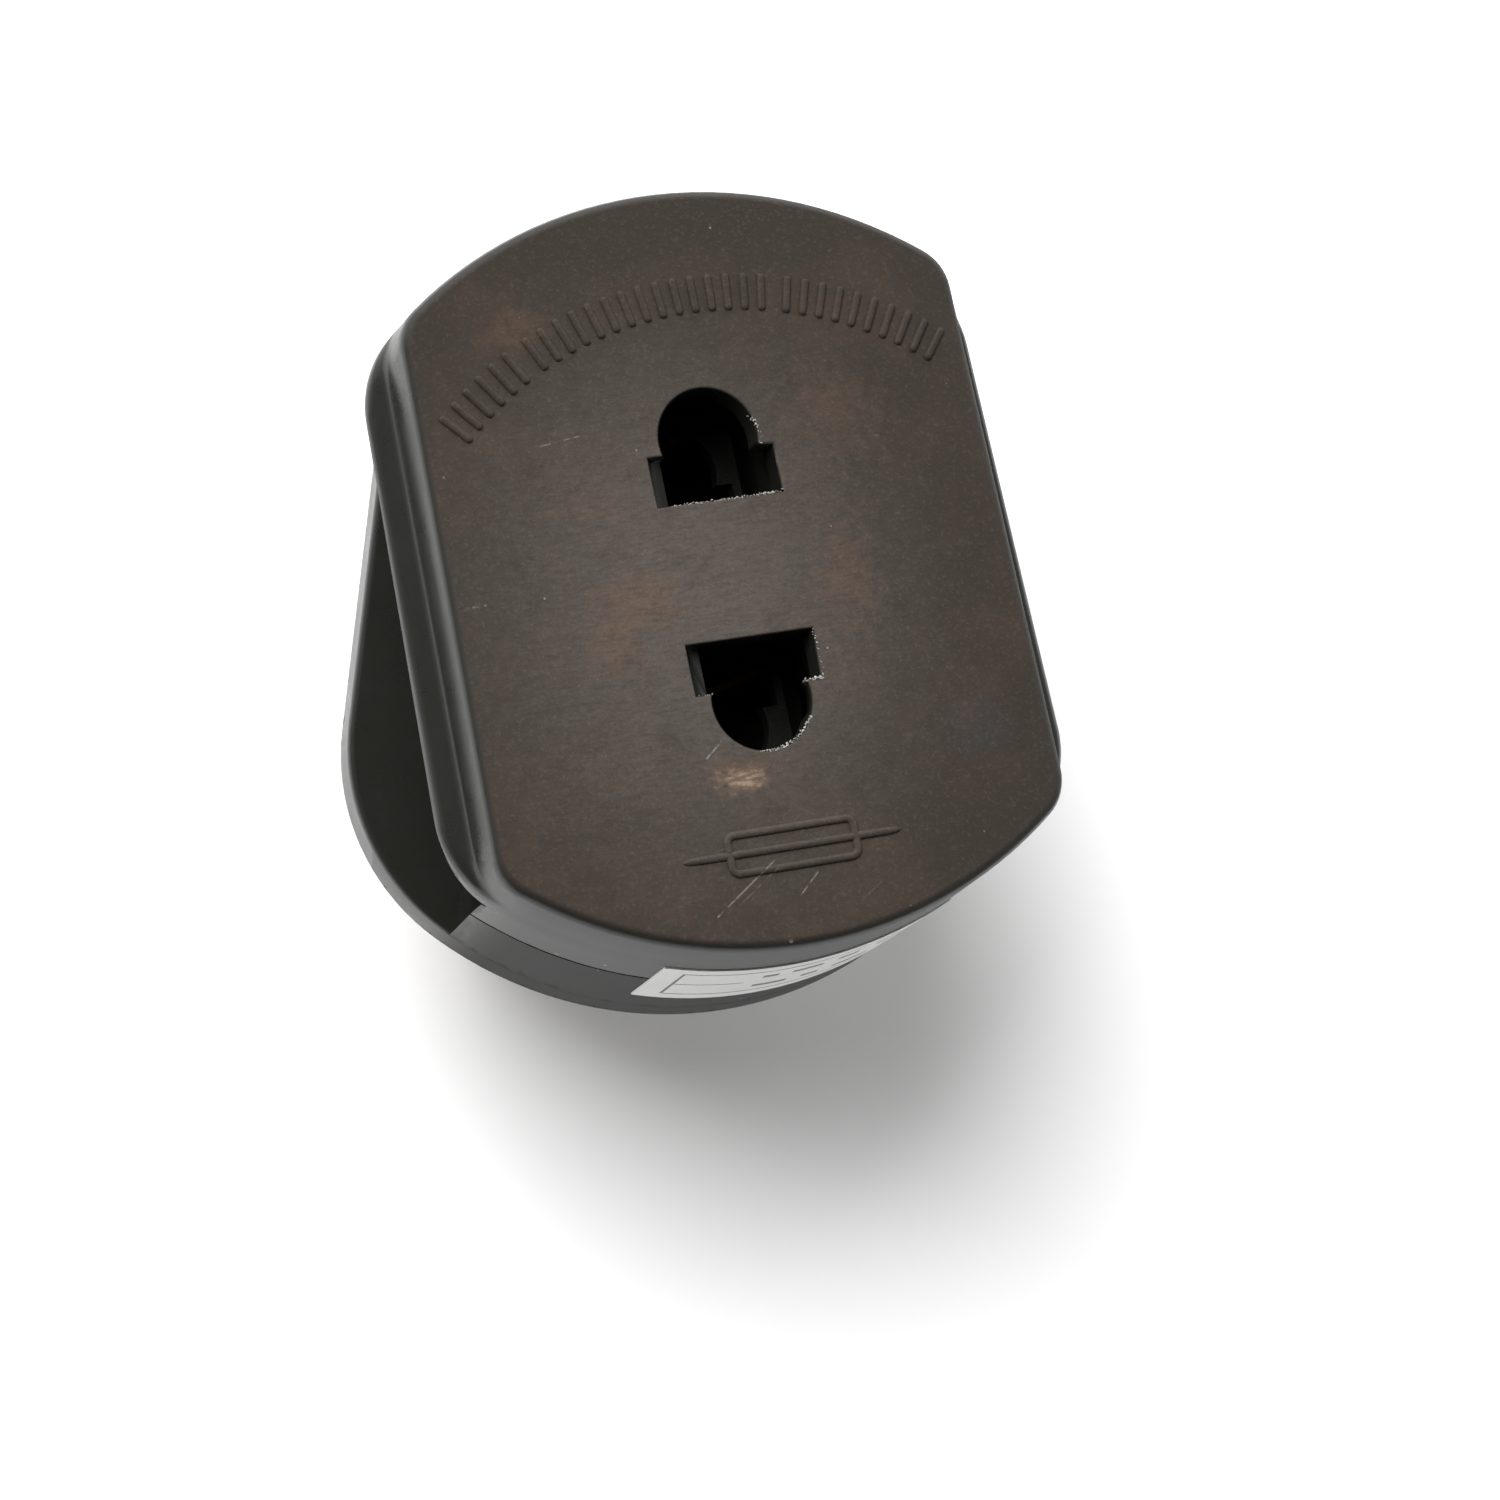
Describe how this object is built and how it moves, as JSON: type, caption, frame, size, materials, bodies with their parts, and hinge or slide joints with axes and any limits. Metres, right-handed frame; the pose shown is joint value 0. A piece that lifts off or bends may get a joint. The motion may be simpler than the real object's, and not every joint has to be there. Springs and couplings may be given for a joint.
{
  "type": "shaver plug adapter",
  "caption": "Black plug-in adapter with a two-pin shaver socket in its domed-end face, finger recesses at the sides and a three-pin fused plug behind.",
  "frame": {"origin": "on the flat pin face, midway between the two socket holes", "axes": "+Z out of the socket face, away from the pins; +Y towards the earth pin; +X towards the line pin"},
  "size_m": [0.0468, 0.0527, 0.0437],
  "materials": {
    "housing_plastic": "satin, fine spark texture",
    "earth_plastic": "satin",
    "sleeve_plastic": "satin",
    "pin_brass": "drawn, slightly dulled",
    "contact_bronze": "rolled strip",
    "carrier_plastic": "satin",
    "fuse_ceramic": "matt",
    "fuse_nickel": "plated",
    "retainer_plastic": "satin",
    "screw_steel": "zinc plated",
    "label_paper": "matt coated"
  },
  "bodies": {
    "root": {"front_cover": "housing_plastic", "rear_base": "housing_plastic", "earth_pin": "earth_plastic", "line_pin": "pin_brass", "neutral_pin": "pin_brass", "line_pin_sleeve": "sleeve_plastic", "neutral_pin_sleeve": "sleeve_plastic", "fuse_carrier": "carrier_plastic", "fuse_tube": "fuse_ceramic", "fuse_cap_line": "fuse_nickel", "fuse_cap_load": "fuse_nickel", "fuse_wire": "fuse_nickel", "line_fuse_clip": "contact_bronze", "load_fuse_clip": "contact_bronze", "line_contact": "contact_bronze", "neutral_contact": "contact_bronze", "contact_retainer": "retainer_plastic", "strap_rivets": "contact_bronze", "assembly_screws": "screw_steel", "rating_label": "label_paper"}
  },
  "joints": []
}
